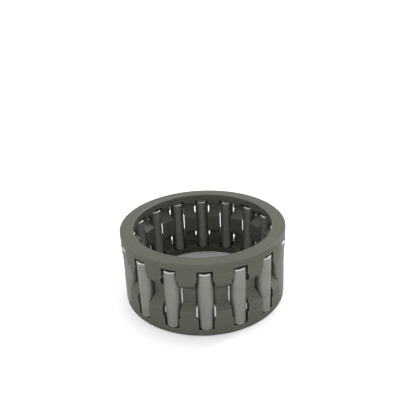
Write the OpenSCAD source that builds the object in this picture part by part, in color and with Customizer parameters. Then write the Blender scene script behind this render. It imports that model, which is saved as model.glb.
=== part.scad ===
// Needle roller and cage assembly.
// One machined steel cage holds a ring of needle rollers, which run directly on a shaft and in a housing.
// The axis is Z, the origin is the centre of the lower face, and roller_01 is at -Y. Millimetres.

/* [Raceways] */
// Diameter under the rollers, which is the diameter of the shaft
shaft_d = 32; // [31.8:0.1:32.2]
// Diameter over the rollers, which is the bore of the housing
housing_d = 39; // [38.8:0.1:39.2]

/* [Rollers] */
// Number of rollers, and of pockets in the cage
roller_count = 16; // [12:1:17]
// Length of a roller over its two ends
roller_len = 13.8; // [13:0.1:14.1]
// Radius of the rounded edge at each end of a roller
roller_edge_r = 0.35; // [0.2:0.05:0.6]

/* [Cage] */
// Width of the cage over its two side faces
cage_w = 17.5; // [17.4:0.1:17.8]
// Radial gap from the cage to the housing, and from the cage to the shaft
cage_gap = 0.2; // [0.15:0.05:0.25]
// Width of the closed rim between a side face and the end of a pocket
rim_w = 1.58; // [1.5:0.01:1.6]
// Width of the side ring's bore, from the side face to the inner recess
ring_bore_w = 2.2; // [2:0.1:2.4]
// Chamfer on the four turned edges of the side rings
edge_chamfer = 0.15; // [0.1:0.05:0.3]

/* [Groove, recesses and pad] */
// Width of the outer groove at the outside of the cage
groove_w = 6.5; // [6:0.1:7]
// Depth of the outer groove
groove_depth = 1.95; // [1.6:0.05:2]
// Width of the pad at the bore of the cage, under the groove
pad_w = 4.2; // [3.6:0.1:4.4]
// Depth of the inner recess on either side of the pad
recess_depth = 1.9; // [1.6:0.05:2]
// How far the groove and the pad sit above the middle of the cage
groove_shift = 0.4; // [0:0.1:0.4]
// How far the bars fall below the rims where they meet the groove
bar_fall = 0.05; // [0.02:0.01:0.08]

/* [Pockets] */
// Play between a roller and the wall of its pocket, on each side
guide_play = 0.06; // [0.03:0.01:0.1]
// Opening at the outside of the cage at the two ends of a pocket, which keeps the roller in
outer_lip_w = 3.36; // [3.2:0.02:3.44]
// Opening at the bore of the cage along the middle of a pocket, which keeps the roller in
inner_lip_w = 2.9; // [2.2:0.1:3]
// Width of the middle stretch of a pocket, which is relieved
relief_w = 4.1; // [4:0.05:4.3]
// Length of the narrow stretch at each end of a pocket
guide_len = 2.5; // [2.1:0.05:2.8]
// Corner radius at the ends of a pocket
pocket_corner_r = 0.3; // [0.1:0.05:0.5]

/* [Hidden] */
$fn = 96;

roller_d = (housing_d - shaft_d) / 2;
pitch_r = (housing_d + shaft_d) / 4;
cage_r = housing_d / 2 - cage_gap;
bore_r = shaft_d / 2 + cage_gap;
groove_r = cage_r - groove_depth;
recess_r = bore_r + recess_depth;
mid_z = cage_w / 2;
groove_z = mid_z + groove_shift;
// Places of the bore and the outside of the cage, measured outwards from the pitch circle
bore_y = bore_r - pitch_r;
outside_y = cage_r - pitch_r;
guide_w = roller_d + 2 * guide_play;
pocket_len = cage_w - 2 * rim_w;
relief_len = pocket_len - 2 * guide_len;
// The closed rims are turned a little short of the pockets, and the bars fall away from there
rim_edge = rim_w - 0.1;
// The cage lies on its lower face, so each roller has slid down to the lower end of its pocket
end_play = 0.05;
// How far a cutter runs past the surface that it cuts
over = 0.6;

function roller_name(i) = str("roller_", i < 10 ? "0" : "", i);
function roller_angle(i) = (i - 1) * 360 / roller_count;
// The right-hand edge of a section, closed by its mirror image
function mirrored(edge) = concat(edge, [for (i = [len(edge) - 1 : -1 : 0]) [-edge[i].x, edge[i].y]]);

// Turned section of the cage: two closed rims, an outer groove with 45 degree flanks, and the pad inside it
module cage_section() {
    half_groove = groove_w / 2;
    half_pad = pad_w / 2;
    polygon([
        [bore_r + edge_chamfer, 0],
        [cage_r - edge_chamfer, 0],
        [cage_r, edge_chamfer],
        [cage_r, rim_edge],
        [cage_r - bar_fall, groove_z - half_groove],
        [groove_r, groove_z - half_groove + groove_depth],
        [groove_r, groove_z + half_groove - groove_depth],
        [cage_r - bar_fall, groove_z + half_groove],
        [cage_r, cage_w - rim_edge],
        [cage_r, cage_w - edge_chamfer],
        [cage_r - edge_chamfer, cage_w],
        [bore_r + edge_chamfer, cage_w],
        [bore_r, cage_w - edge_chamfer],
        [bore_r, cage_w - ring_bore_w],
        [recess_r, cage_w - ring_bore_w - recess_depth / 2],
        [recess_r, groove_z + half_pad + recess_depth],
        [bore_r, groove_z + half_pad],
        [bore_r, groove_z - half_pad],
        [recess_r, groove_z - half_pad - recess_depth],
        [recess_r, ring_bore_w + recess_depth / 2],
        [bore_r, ring_bore_w],
        [bore_r, edge_chamfer]
    ]);
}

// Sections of a pocket across the roller, x along the rim and y outwards from the pitch circle.
// At its two ends the pocket guides the roller, and closes in towards the outside of the cage.
module guide_section() {
    polygon(mirrored([
        [guide_w / 2, bore_y - over],
        [guide_w / 2, recess_r - pitch_r],
        [outer_lip_w / 2, outside_y],
        [outer_lip_w / 2, outside_y + over]
    ]));
}

// Along its middle the pocket is wider than the roller, and closes in towards the bore
module relief_section() {
    polygon(mirrored([
        [inner_lip_w / 2, bore_y - over],
        [inner_lip_w / 2, bore_y],
        [relief_w / 2, groove_r - pitch_r],
        [relief_w / 2, outside_y + over]
    ]));
}

// Outline of a pocket seen from outside the cage, with round corners, x along the rim and y along the axis
module pocket_outline() {
    for (sx = [-1, 1], sy = [-1, 1])
        translate([sx * (guide_w / 2 - pocket_corner_r), sy * (pocket_len / 2 - pocket_corner_r)])
            circle(r = pocket_corner_r);
    square([guide_w, pocket_len - 2 * pocket_corner_r], center = true);
    square([guide_w - 2 * pocket_corner_r, pocket_len], center = true);
}

// Cutter for the pocket of roller_01: its two guiding ends, and the relieved stretch between them
module pocket_cutter() {
    rotate([0, 0, 180]) {
        intersection() {
            for (low = [-pocket_len / 2, relief_len / 2])
                translate([0, pitch_r, mid_z + low])
                    linear_extrude(guide_len)
                        guide_section();
            translate([0, bore_r - over, mid_z])
                rotate([-90, 0, 0])
                    linear_extrude(cage_r - bore_r + 2 * over)
                        pocket_outline();
        }
        translate([0, pitch_r, mid_z - relief_len / 2])
            linear_extrude(relief_len)
                relief_section();
    }
}

// The cage: one turned ring with a row of milled pockets
module cage() {
    color([0.40, 0.40, 0.36])
        difference() {
            rotate_extrude()
                cage_section();
            for (i = [1 : roller_count])
                rotate([0, 0, roller_angle(i)])
                    pocket_cutter();
        }
}

// Half section of a roller, with a quarter round at each end
module roller_section() {
    r = roller_d / 2;
    square([r - roller_edge_r, roller_len]);
    translate([0, roller_edge_r])
        square([r, roller_len - 2 * roller_edge_r]);
    for (y = [roller_edge_r, roller_len - roller_edge_r])
        translate([r - roller_edge_r, y])
            circle(r = roller_edge_r);
}

// One needle roller in its pocket, number i counted anticlockwise from -Y
module roller(i) {
    color([0.62, 0.62, 0.60])
        rotate([0, 0, roller_angle(i)])
            translate([0, -pitch_r, rim_w + end_play])
                rotate_extrude()
                    roller_section();
}

cage();
for (i = [1 : roller_count])
    roller(i);
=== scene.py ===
# Needle roller and cage assembly on a white studio table.
import bpy
import math
from mathutils import Matrix, Vector


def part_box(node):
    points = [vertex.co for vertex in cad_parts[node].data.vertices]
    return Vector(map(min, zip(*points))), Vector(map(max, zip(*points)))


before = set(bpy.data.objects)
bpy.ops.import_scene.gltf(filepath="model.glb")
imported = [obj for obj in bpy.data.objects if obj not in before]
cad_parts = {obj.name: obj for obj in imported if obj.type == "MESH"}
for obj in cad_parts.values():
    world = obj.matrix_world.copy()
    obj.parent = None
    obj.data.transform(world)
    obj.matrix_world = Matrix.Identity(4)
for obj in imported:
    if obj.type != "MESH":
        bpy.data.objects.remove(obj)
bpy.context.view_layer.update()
scene = bpy.context.scene
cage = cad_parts["cage"]
rollers = {name: node for name, node in sorted(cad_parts.items()) if name != "cage"}
cageLow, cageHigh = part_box("cage")
print("frame loaded:", len(rollers), "rollers")

# camera, standing in front of the top face's centre
view = {
    "lens": 41.4,
    "distance": 0.10826,
    "elevation": 26.4,
    "roll": -2.5,
    "tiltUp": 2.69,
    "panLeft": 0.28,
    "clipStart": 0.005,
}


def addCamera():
    camera = bpy.data.objects.new("camera", bpy.data.cameras.new("camera"))
    scene.collection.objects.link(camera)
    camera.data.lens = view["lens"]
    camera.data.clip_start = view["clipStart"]
    lean = math.radians(view["elevation"])
    place = Vector((0, -math.cos(lean), math.sin(lean))) * view["distance"]
    place.z += cageHigh.z
    turn = Matrix.Rotation(math.radians(90 - view["elevation"]), 4, "X")
    turn = turn @ Matrix.Rotation(math.radians(view["roll"]), 4, "Z")
    turn = turn @ Matrix.Rotation(math.radians(view["tiltUp"]), 4, "X")
    turn = turn @ Matrix.Rotation(math.radians(view["panLeft"]), 4, "Y")
    camera.matrix_world = Matrix.Translation(place) @ turn
    scene.camera = camera


addCamera()

# studio: bright all round, with one dim part of the sky high up in front
studio = {
    "floorSize": 3.0,
    "floorGap": 0.00001,
    "floorColour": (0.95, 0.95, 0.95, 1),
    "floorRoughness": 0.7,
    "horizon": 1.9,
    "dim": 0.15,
    "dimPlace": (0, -0.45, 0.89),
    "bandLow": 0.75,
    "bandHigh": 0.95,
    "keyPlace": (0.25, 0.145, 0.145),
    "keySize": 0.05,
    "keyPower": 0.3,
    "fillPlace": (0, -0.30, 0.20),
    "fillSize": 0.12,
    "fillPower": 0.15,
}


def addFloor():
    place = (0, 0, cageLow.z - studio["floorGap"])
    bpy.ops.mesh.primitive_plane_add(size=studio["floorSize"], location=place)
    floor = bpy.context.object
    floor.name = "floor"
    paint = bpy.data.materials.new("pale table")
    paint.use_nodes = True
    shader = paint.node_tree.nodes["Principled BSDF"]
    shader.inputs["Base Color"].default_value = studio["floorColour"]
    shader.inputs["Roughness"].default_value = studio["floorRoughness"]
    floor.data.materials.append(paint)


def addLight(name, place, size, power):
    lamp = bpy.data.lights.new(name, "AREA")
    lamp.size = size
    lamp.energy = power
    light = bpy.data.objects.new(name, lamp)
    scene.collection.objects.link(light)
    light.location = place
    light.rotation_euler = (-Vector(place)).to_track_quat("-Z", "Y").to_euler()


def addWorld():
    world = bpy.data.worlds.new("studio")
    scene.world = world
    world.use_nodes = True
    tree = world.node_tree
    backdrop = tree.nodes["Background"]
    backdrop.inputs["Color"].default_value = (1, 1, 1, 1)
    place = tree.nodes.new("ShaderNodeTexCoord")
    toward = tree.nodes.new("ShaderNodeVectorMath")
    toward.operation = "DOT_PRODUCT"
    toward.inputs[1].default_value = Vector(studio["dimPlace"]).normalized()
    fade = tree.nodes.new("ShaderNodeMapRange")
    fade.interpolation_type = "SMOOTHSTEP"
    fade.inputs["From Min"].default_value = studio["bandLow"]
    fade.inputs["From Max"].default_value = studio["bandHigh"]
    fade.inputs["To Min"].default_value = studio["horizon"]
    fade.inputs["To Max"].default_value = studio["dim"]
    tree.links.new(place.outputs["Generated"], toward.inputs[0])
    tree.links.new(toward.outputs["Value"], fade.inputs["Value"])
    tree.links.new(fade.outputs["Result"], backdrop.inputs["Strength"])


addFloor()
addWorld()
addLight("key light", studio["keyPlace"], studio["keySize"], studio["keyPower"])
addLight("fill light", studio["fillPlace"], studio["fillSize"], studio["fillPower"])
scene.view_settings.view_transform = "Standard"
print("studio ready")


# small helpers for node trees
def link(tree, source, target):
    tree.links.new(source, target)


def math2(tree, operation, a, b=None, c=None):
    node = tree.nodes.new("ShaderNodeMath")
    node.operation = operation
    for socket, value in zip(node.inputs, (a, b, c)):
        if value is None:
            continue
        if isinstance(value, (int, float)):
            socket.default_value = value
        else:
            link(tree, value, socket)
    return node.outputs[0]


def combine(tree, x, y, z):
    node = tree.nodes.new("ShaderNodeCombineXYZ")
    for socket, value in zip(node.inputs, (x, y, z)):
        if isinstance(value, (int, float)):
            socket.default_value = value
        else:
            link(tree, value, socket)
    return node.outputs[0]


def mapped(tree, value, low, high, toLow=0.0, toHigh=1.0):
    node = tree.nodes.new("ShaderNodeMapRange")
    link(tree, value, node.inputs["Value"])
    node.inputs["From Min"].default_value = low
    node.inputs["From Max"].default_value = high
    node.inputs["To Min"].default_value = toLow
    node.inputs["To Max"].default_value = toHigh
    return node.outputs["Result"]


def mixed(tree, mask, a, b):
    node = tree.nodes.new("ShaderNodeMix")
    node.data_type = "RGBA"
    for socket, value in zip((node.inputs["Factor"], node.inputs[6], node.inputs[7]), (mask, a, b)):
        if isinstance(value, (tuple, float)):
            socket.default_value = value
        else:
            link(tree, value, socket)
    return node.outputs[2]


def makeGroup(name, inputs, outputs):
    tree = bpy.data.node_groups.new(name, "ShaderNodeTree")
    for label, kind, value in inputs:
        socket = tree.interface.new_socket(label, in_out="INPUT", socket_type=kind)
        if value is not None:
            socket.default_value = value
    for label, kind in outputs:
        tree.interface.new_socket(label, in_out="OUTPUT", socket_type=kind)
    return tree, tree.nodes.new("NodeGroupInput"), tree.nodes.new("NodeGroupOutput")


def useGroup(tree, group, **values):
    node = tree.nodes.new("ShaderNodeGroup")
    node.node_tree = group
    for label, value in values.items():
        socket = node.inputs[label]
        if isinstance(value, (int, float)):
            socket.default_value = value
        else:
            link(tree, value, socket)
    return node


# noise that is drawn out round an axis: Across holds the two directions that cross the tool marks,
# and Place carries the mark's slow change along its length
def toolMarks():
    tree, given, result = makeGroup(
        "tool marks",
        [("Across", "NodeSocketVector", None), ("Place", "NodeSocketVector", None),
         ("Pitch", "NodeSocketFloat", 9000.0), ("Drift", "NodeSocketFloat", 60.0)],
        [("Fine", "NodeSocketFloat"), ("Broad", "NodeSocketFloat")])
    split = tree.nodes.new("ShaderNodeSeparateXYZ")
    link(tree, given.outputs["Across"], split.inputs[0])
    along = tree.nodes.new("ShaderNodeSeparateXYZ")
    link(tree, given.outputs["Place"], along.inputs[0])
    drift = given.outputs["Drift"]
    for label, share, detail in (("Fine", 1.0, 4.0), ("Broad", 0.16, 2.0)):
        pitch = math2(tree, "MULTIPLY", given.outputs["Pitch"], share)
        across = [math2(tree, "MULTIPLY", split.outputs[k], pitch) for k in (0, 1)]
        slow = [math2(tree, "MULTIPLY", along.outputs[k], drift) for k in (0, 1)]
        noise = tree.nodes.new("ShaderNodeTexNoise")
        noise.noise_dimensions = "4D"
        noise.inputs["Scale"].default_value = 1.0
        noise.inputs["Detail"].default_value = detail
        link(tree, combine(tree, across[0], across[1], slow[0]), noise.inputs["Vector"])
        link(tree, slow[1], noise.inputs["W"])
        link(tree, noise.outputs[0], result.inputs[label])
    return tree


# cloudy stains from handling and oil, and small dark specks
stainLook = {
    "cloudDetail": 6.0,
    "cloudRoughness": 0.62,
    "cloudTwist": 0.6,
    "cloudRange": (0.32, 0.68),
    "speckDetail": 3.0,
    "speckRange": (0.64, 0.76),
}


def stains():
    tree, given, result = makeGroup(
        "stains",
        [("Vector", "NodeSocketVector", None), ("Patch", "NodeSocketFloat", 260.0),
         ("Speck", "NodeSocketFloat", 6500.0)],
        [("Cloud", "NodeSocketFloat"), ("Specks", "NodeSocketFloat")])
    cloud = tree.nodes.new("ShaderNodeTexNoise")
    cloud.inputs["Detail"].default_value = stainLook["cloudDetail"]
    cloud.inputs["Roughness"].default_value = stainLook["cloudRoughness"]
    cloud.inputs["Distortion"].default_value = stainLook["cloudTwist"]
    link(tree, given.outputs["Vector"], cloud.inputs["Vector"])
    link(tree, given.outputs["Patch"], cloud.inputs["Scale"])
    link(tree, mapped(tree, cloud.outputs[0], *stainLook["cloudRange"]), result.inputs["Cloud"])
    speck = tree.nodes.new("ShaderNodeTexNoise")
    speck.inputs["Detail"].default_value = stainLook["speckDetail"]
    link(tree, given.outputs["Vector"], speck.inputs["Vector"])
    link(tree, given.outputs["Speck"], speck.inputs["Scale"])
    link(tree, mapped(tree, speck.outputs[0], *stainLook["speckRange"]), result.inputs["Specks"])
    return tree


# fine broken scratches in no particular direction
def scratches():
    tree, given, result = makeGroup(
        "scratches",
        [("Vector", "NodeSocketVector", None), ("Scale", "NodeSocketFloat", 420.0)],
        [("Mask", "NodeSocketFloat")])
    found = None
    for turn, stretch in ((0.5, (1, 30, 30)), (1.9, (30, 1, 30)), (2.6, (30, 30, 1))):
        turned = tree.nodes.new("ShaderNodeMapping")
        turned.inputs["Rotation"].default_value = (turn, turn * 1.7, turn * 0.6)
        turned.inputs["Scale"].default_value = stretch
        link(tree, given.outputs["Vector"], turned.inputs["Vector"])
        noise = tree.nodes.new("ShaderNodeTexNoise")
        noise.inputs["Detail"].default_value = 2.0
        link(tree, turned.outputs[0], noise.inputs["Vector"])
        link(tree, given.outputs["Scale"], noise.inputs["Scale"])
        mask = mapped(tree, noise.outputs[0], 0.70, 0.78)
        found = mask if found is None else math2(tree, "MAXIMUM", found, mask)
    link(tree, found, result.inputs["Mask"])
    return tree


# bright worn edges with a painted edge highlight, found where a small rounding would turn the
# surface
edgeLook = {
    "samples": 6,
    "radius": 0.00009,
    "turnRange": (0.995, 0.90),
    "noiseScale": 900.0,
    "noiseDetail": 4.0,
    "brokenRange": (0.30, 0.62, 0.25, 1.0),
}


def edgeWearAndHighlight():
    tree, given, result = makeGroup(
        "edge wear and painted highlight",
        [("Vector", "NodeSocketVector", None)],
        [("Mask", "NodeSocketFloat"), ("Normal", "NodeSocketVector")])
    rounded = tree.nodes.new("ShaderNodeBevel")
    rounded.samples = edgeLook["samples"]
    rounded.inputs["Radius"].default_value = edgeLook["radius"]
    flat = tree.nodes.new("ShaderNodeNewGeometry")
    dot = tree.nodes.new("ShaderNodeVectorMath")
    dot.operation = "DOT_PRODUCT"
    link(tree, rounded.outputs[0], dot.inputs[0])
    link(tree, flat.outputs["Normal"], dot.inputs[1])
    edge = mapped(tree, dot.outputs["Value"], *edgeLook["turnRange"])
    noise = tree.nodes.new("ShaderNodeTexNoise")
    noise.inputs["Scale"].default_value = edgeLook["noiseScale"]
    noise.inputs["Detail"].default_value = edgeLook["noiseDetail"]
    link(tree, given.outputs["Vector"], noise.inputs["Vector"])
    broken = mapped(tree, noise.outputs[0], *edgeLook["brokenRange"])
    link(tree, math2(tree, "MULTIPLY", edge, broken), result.inputs["Mask"])
    link(tree, rounded.outputs[0], result.inputs["Normal"])
    return tree


effects = {"marks": toolMarks(), "stains": stains(), "scratches": scratches(), "edges": edgeWearAndHighlight()}


# satin machined steel: turned rings and lands, stained and lightly worn, with painted highlights on
# the edges
cageFinish = {
    "dark": (0.083, 0.083, 0.068, 1),
    "light": (0.120, 0.121, 0.099, 1),
    "speck": (0.050, 0.048, 0.038, 1),
    "wornAndHighlight": (0.34, 0.34, 0.31, 1),
    "pitch": 5200.0,
    "banding": 0.6,
    "roughness": (0.58, 0.68),
    "bump": 0.22,
}


def startMaterial(name):
    material = bpy.data.materials.new(name)
    material.use_nodes = True
    tree = material.node_tree
    shader = tree.nodes["Principled BSDF"]
    shader.inputs["Metallic"].default_value = 1.0
    place = tree.nodes.new("ShaderNodeTexCoord").outputs["Object"]
    return material, tree, shader, place


# how strongly each effect shows, the same on both steels
strength = {
    "fineRange": (0.36, 0.64),
    "fineShare": 0.65,
    "broadRange": (0.3, 0.7),
    "broadShare": 0.35,
    "speck": 0.3,
    "scratch": 0.12,
    # colour strength of the painted highlight on the rounded roller ends
    "endPolishAndHighlight": 0.6,
    "markRoughness": 0.06,
    "polishRoughness": -0.20,
    "broadHeight": 0.5,
    "scratchHeight": -0.3,
    "bumpDistance": 0.00002,
}


def finishMaterial(tree, shader, place, look, across, tint=None, endPolishAndHighlight=None):
    marks = useGroup(tree, effects["marks"], Across=across, Place=place, Pitch=look["pitch"])
    dirt = useGroup(tree, effects["stains"], Vector=place)
    lines = useGroup(tree, effects["scratches"], Vector=place)
    edges = useGroup(tree, effects["edges"], Vector=place)
    cloud, specks = dirt.outputs["Cloud"], dirt.outputs["Specks"]
    fine = mapped(tree, marks.outputs["Fine"], *strength["fineRange"])
    broad = mapped(tree, marks.outputs["Broad"], *strength["broadRange"])
    turned = math2(tree, "MULTIPLY_ADD", fine, strength["fineShare"],
                   math2(tree, "MULTIPLY", broad, strength["broadShare"]))
    tone = math2(tree, "MULTIPLY_ADD", turned, look["banding"],
                 math2(tree, "MULTIPLY", cloud, 1 - look["banding"]))
    if tint is not None:
        tone = math2(tree, "ADD", tone, tint)
    colour = mixed(tree, tone, look["dark"], look["light"])
    colour = mixed(tree, math2(tree, "MULTIPLY", specks, strength["speck"]), colour, look["speck"])
    scratched = math2(tree, "MULTIPLY", lines.outputs["Mask"], strength["scratch"])
    # real scratches and worn edges lighten the colour, and the edge lightening is also a painted
    # highlight
    wearAndHighlight = math2(tree, "MAXIMUM", edges.outputs["Mask"], scratched)
    if endPolishAndHighlight is not None:
        # painted highlight: the rounded roller ends are lightened towards the bright edge colour
        paintedEndHighlight = math2(tree, "MULTIPLY", endPolishAndHighlight, strength["endPolishAndHighlight"])
        wearAndHighlight = math2(tree, "MAXIMUM", wearAndHighlight, paintedEndHighlight)
    # painted highlight mixed with real wear: the colour is lightened at edges, scratches and roller
    # ends
    colour = mixed(tree, wearAndHighlight, colour, look["wornAndHighlight"])
    link(tree, colour, shader.inputs["Base Color"])
    low, high = look["roughness"]
    rough = math2(tree, "MULTIPLY_ADD", cloud, high - low, low)
    rough = math2(tree, "MULTIPLY_ADD", marks.outputs["Fine"], strength["markRoughness"], rough)
    if endPolishAndHighlight is not None:
        rough = math2(tree, "MULTIPLY_ADD", endPolishAndHighlight, strength["polishRoughness"], rough)
    link(tree, rough, shader.inputs["Roughness"])
    height = math2(tree, "MULTIPLY_ADD", marks.outputs["Broad"], strength["broadHeight"],
                   marks.outputs["Fine"])
    height = math2(tree, "MULTIPLY_ADD", lines.outputs["Mask"], strength["scratchHeight"], height)
    bump = tree.nodes.new("ShaderNodeBump")
    bump.inputs["Strength"].default_value = look["bump"]
    bump.inputs["Distance"].default_value = strength["bumpDistance"]
    link(tree, height, bump.inputs["Height"])
    link(tree, edges.outputs["Normal"], bump.inputs["Normal"])
    link(tree, bump.outputs[0], shader.inputs["Normal"])


def makeCageSteel():
    material, tree, shader, place = startMaterial("cage steel")
    split = tree.nodes.new("ShaderNodeSeparateXYZ")
    link(tree, place, split.inputs[0])
    x, y, z = split.outputs
    radius = math2(tree, "SQRT", math2(tree, "MULTIPLY_ADD", x, x, math2(tree, "MULTIPLY", y, y)))
    finishMaterial(tree, shader, place, cageFinish, combine(tree, radius, z, 0.0))
    return material


# finely ground bearing steel, each roller a little different from the next
rollerFinish = {
    "dark": (0.153, 0.153, 0.136, 1),
    "light": (0.216, 0.216, 0.194, 1),
    "speck": (0.090, 0.088, 0.075, 1),
    "wornAndHighlight": (0.42, 0.42, 0.39, 1),
    "pitch": 11000.0,
    "banding": 0.35,
    "roughness": (0.48, 0.56),
    "bump": 0.10,
    "pitchRadius": 0.01775,
    "midHeight": 0.00853,
    "halfLength": 0.0069,
    "endRounding": 0.00035,
    "endPolishAndHighlightBefore": 0.00008,
    "endPolishAndHighlightAfter": 0.00005,
    "chanceShift": 40.5,
    "tint": 0.18,
}


def makeRollerSteel():
    material, tree, shader, place = startMaterial("roller steel")
    split = tree.nodes.new("ShaderNodeSeparateXYZ")
    link(tree, place, split.inputs[0])
    x, y, z = split.outputs
    step = 2 * math.pi / len(rollers)
    turn = math2(tree, "ARCTAN2", x, math2(tree, "MULTIPLY", y, -1.0))
    number = math2(tree, "ROUND", math2(tree, "DIVIDE", turn, step))
    angle = math2(tree, "MULTIPLY", number, step)
    reach = rollerFinish["pitchRadius"]
    localX = math2(tree, "MULTIPLY_ADD", math2(tree, "SINE", angle), -reach, x)
    localY = math2(tree, "MULTIPLY_ADD", math2(tree, "COSINE", angle), reach, y)
    square = math2(tree, "MULTIPLY", localY, localY)
    radius = math2(tree, "SQRT", math2(tree, "MULTIPLY_ADD", localX, localX, square))
    chance = tree.nodes.new("ShaderNodeTexWhiteNoise")
    chance.noise_dimensions = "1D"
    link(tree, math2(tree, "ADD", number, rollerFinish["chanceShift"]), chance.inputs["W"])
    tint = mapped(tree, chance.outputs[0], 0.0, 1.0, -rollerFinish["tint"], rollerFinish["tint"])
    # the rounded ends are tumbled, and smoother than the ground side; their colour is also
    # lightened there as a painted highlight
    out = math2(tree, "ABSOLUTE", math2(tree, "SUBTRACT", z, rollerFinish["midHeight"]))
    start = rollerFinish["halfLength"] - rollerFinish["endRounding"]
    endPolishAndHighlightRange = (start - rollerFinish["endPolishAndHighlightBefore"], start + rollerFinish["endPolishAndHighlightAfter"])
    endPolishAndHighlight = mapped(tree, out, *endPolishAndHighlightRange)
    finishMaterial(tree, shader, place, rollerFinish, combine(tree, radius, z, 0.0), tint, endPolishAndHighlight)
    return material


def dress(node, material):
    node.data.materials.clear()
    node.data.materials.append(material)


dress(cage, makeCageSteel())
rollerSteel = makeRollerSteel()
for node in rollers.values():
    dress(node, rollerSteel)
print("materials assigned")
